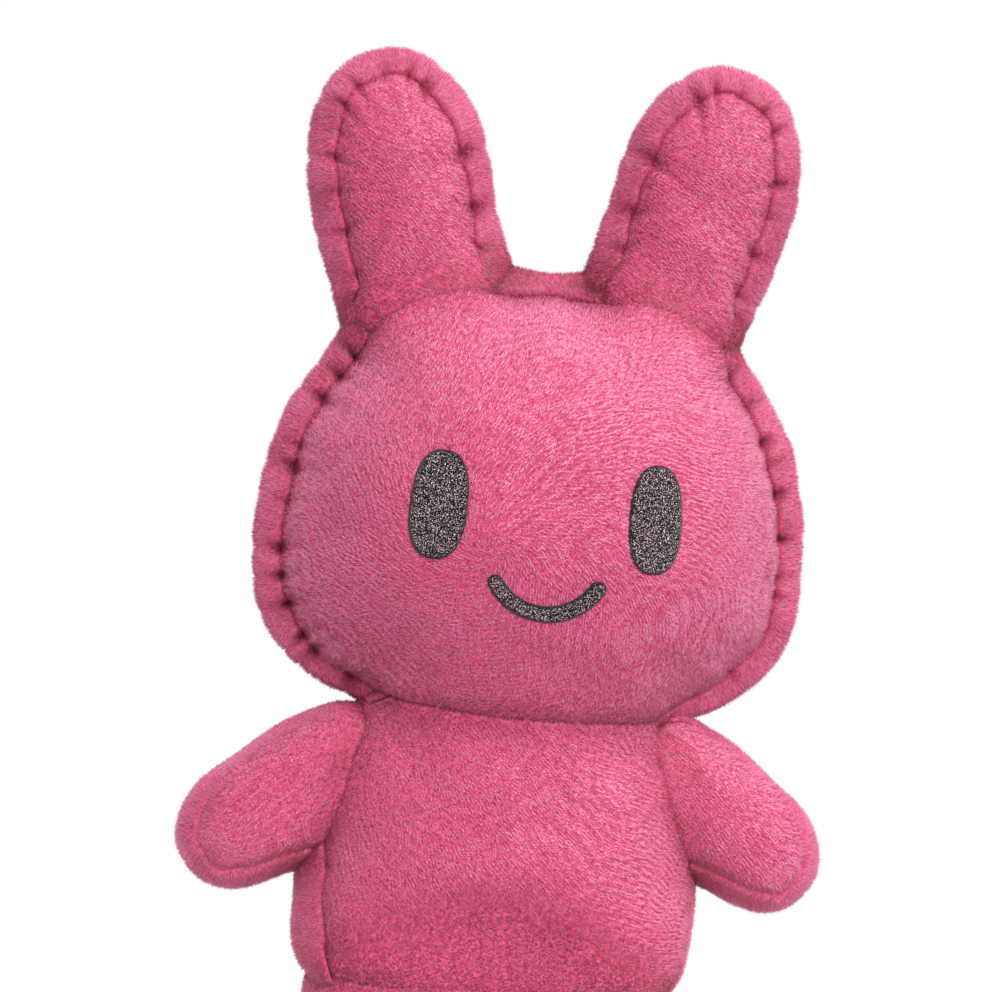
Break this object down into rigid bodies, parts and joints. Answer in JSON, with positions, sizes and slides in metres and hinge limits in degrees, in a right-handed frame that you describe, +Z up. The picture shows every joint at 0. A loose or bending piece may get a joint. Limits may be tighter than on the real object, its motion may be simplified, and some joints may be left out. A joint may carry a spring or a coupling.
{
  "type": "stuffed bunny rabbit",
  "caption": "Soft plush rabbit standing on short legs, with two long bordered ears, paddle arms, oval eyes and a stitched smile.",
  "frame": {"origin": "on the floor midway between the feet, at the middle of the bounding box's base", "axes": "+Z up, the rabbit faces -Y, its own left side is +X"},
  "size_m": [0.2102, 0.1138, 0.3684],
  "materials": {
    "pink_plush": "matte",
    "dark_felt": "matte",
    "white_fibre": "matte"
  },
  "bodies": {
    "torso": {"body_front_panel": "pink_plush", "body_back_panel": "pink_plush", "body_stuffing": "white_fibre", "tail_cover": "pink_plush", "tail_stuffing": "white_fibre"},
    "neck": {"neck_stuffing": "white_fibre"},
    "head": {"head_front_panel": "pink_plush", "head_back_panel": "pink_plush", "head_stuffing": "white_fibre", "eye_left": "dark_felt", "eye_right": "dark_felt", "mouth": "dark_felt"},
    "ear_left": {"ear_left_front_panel": "pink_plush", "ear_left_back_panel": "pink_plush", "ear_left_stuffing": "white_fibre"},
    "ear_right": {"ear_right_front_panel": "pink_plush", "ear_right_back_panel": "pink_plush", "ear_right_stuffing": "white_fibre"},
    "arm_left": {"arm_left_front_panel": "pink_plush", "arm_left_back_panel": "pink_plush", "arm_left_stuffing": "white_fibre"},
    "arm_right": {"arm_right_front_panel": "pink_plush", "arm_right_back_panel": "pink_plush", "arm_right_stuffing": "white_fibre"},
    "leg_left": {"leg_left_front_panel": "pink_plush", "leg_left_back_panel": "pink_plush", "leg_left_stuffing": "white_fibre", "leg_left_sole": "pink_plush"},
    "leg_right": {"leg_right_front_panel": "pink_plush", "leg_right_back_panel": "pink_plush", "leg_right_stuffing": "white_fibre", "leg_right_sole": "pink_plush"}
  },
  "joints": [
    {"name": "neck_nod", "type": "hinge", "parent": "torso", "child": "neck", "pos_m": [0, 0, 0.138], "axis": [1, 0, 0], "range_deg": [-10, 12]},
    {"name": "head_turn", "type": "hinge", "parent": "neck", "child": "head", "pos_m": [0, 0, 0.138], "axis": [0, 0, 1], "range_deg": [-45, 45]},
    {"name": "ear_left_flop", "type": "hinge", "parent": "head", "child": "ear_left", "pos_m": [0.0428, 0, 0.2906], "axis": [0.9848, 0, -0.1736], "range_deg": [-25, 35]},
    {"name": "ear_right_flop", "type": "hinge", "parent": "head", "child": "ear_right", "pos_m": [-0.0428, 0, 0.2906], "axis": [0.9848, 0, 0.1736], "range_deg": [-25, 35]},
    {"name": "arm_left_raise", "type": "hinge", "parent": "torso", "child": "arm_left", "pos_m": [0.06, 0, 0.127], "axis": [0, -1, 0], "range_deg": [-10, 50]},
    {"name": "arm_right_raise", "type": "hinge", "parent": "torso", "child": "arm_right", "pos_m": [-0.06, 0, 0.127], "axis": [0, 1, 0], "range_deg": [-10, 50]},
    {"name": "leg_left_swing", "type": "hinge", "parent": "torso", "child": "leg_left", "pos_m": [0.033, 0, 0.058], "axis": [-1, 0, 0], "range_deg": [-20, 65]},
    {"name": "leg_right_swing", "type": "hinge", "parent": "torso", "child": "leg_right", "pos_m": [-0.033, 0, 0.058], "axis": [-1, 0, 0], "range_deg": [-20, 65]}
  ]
}
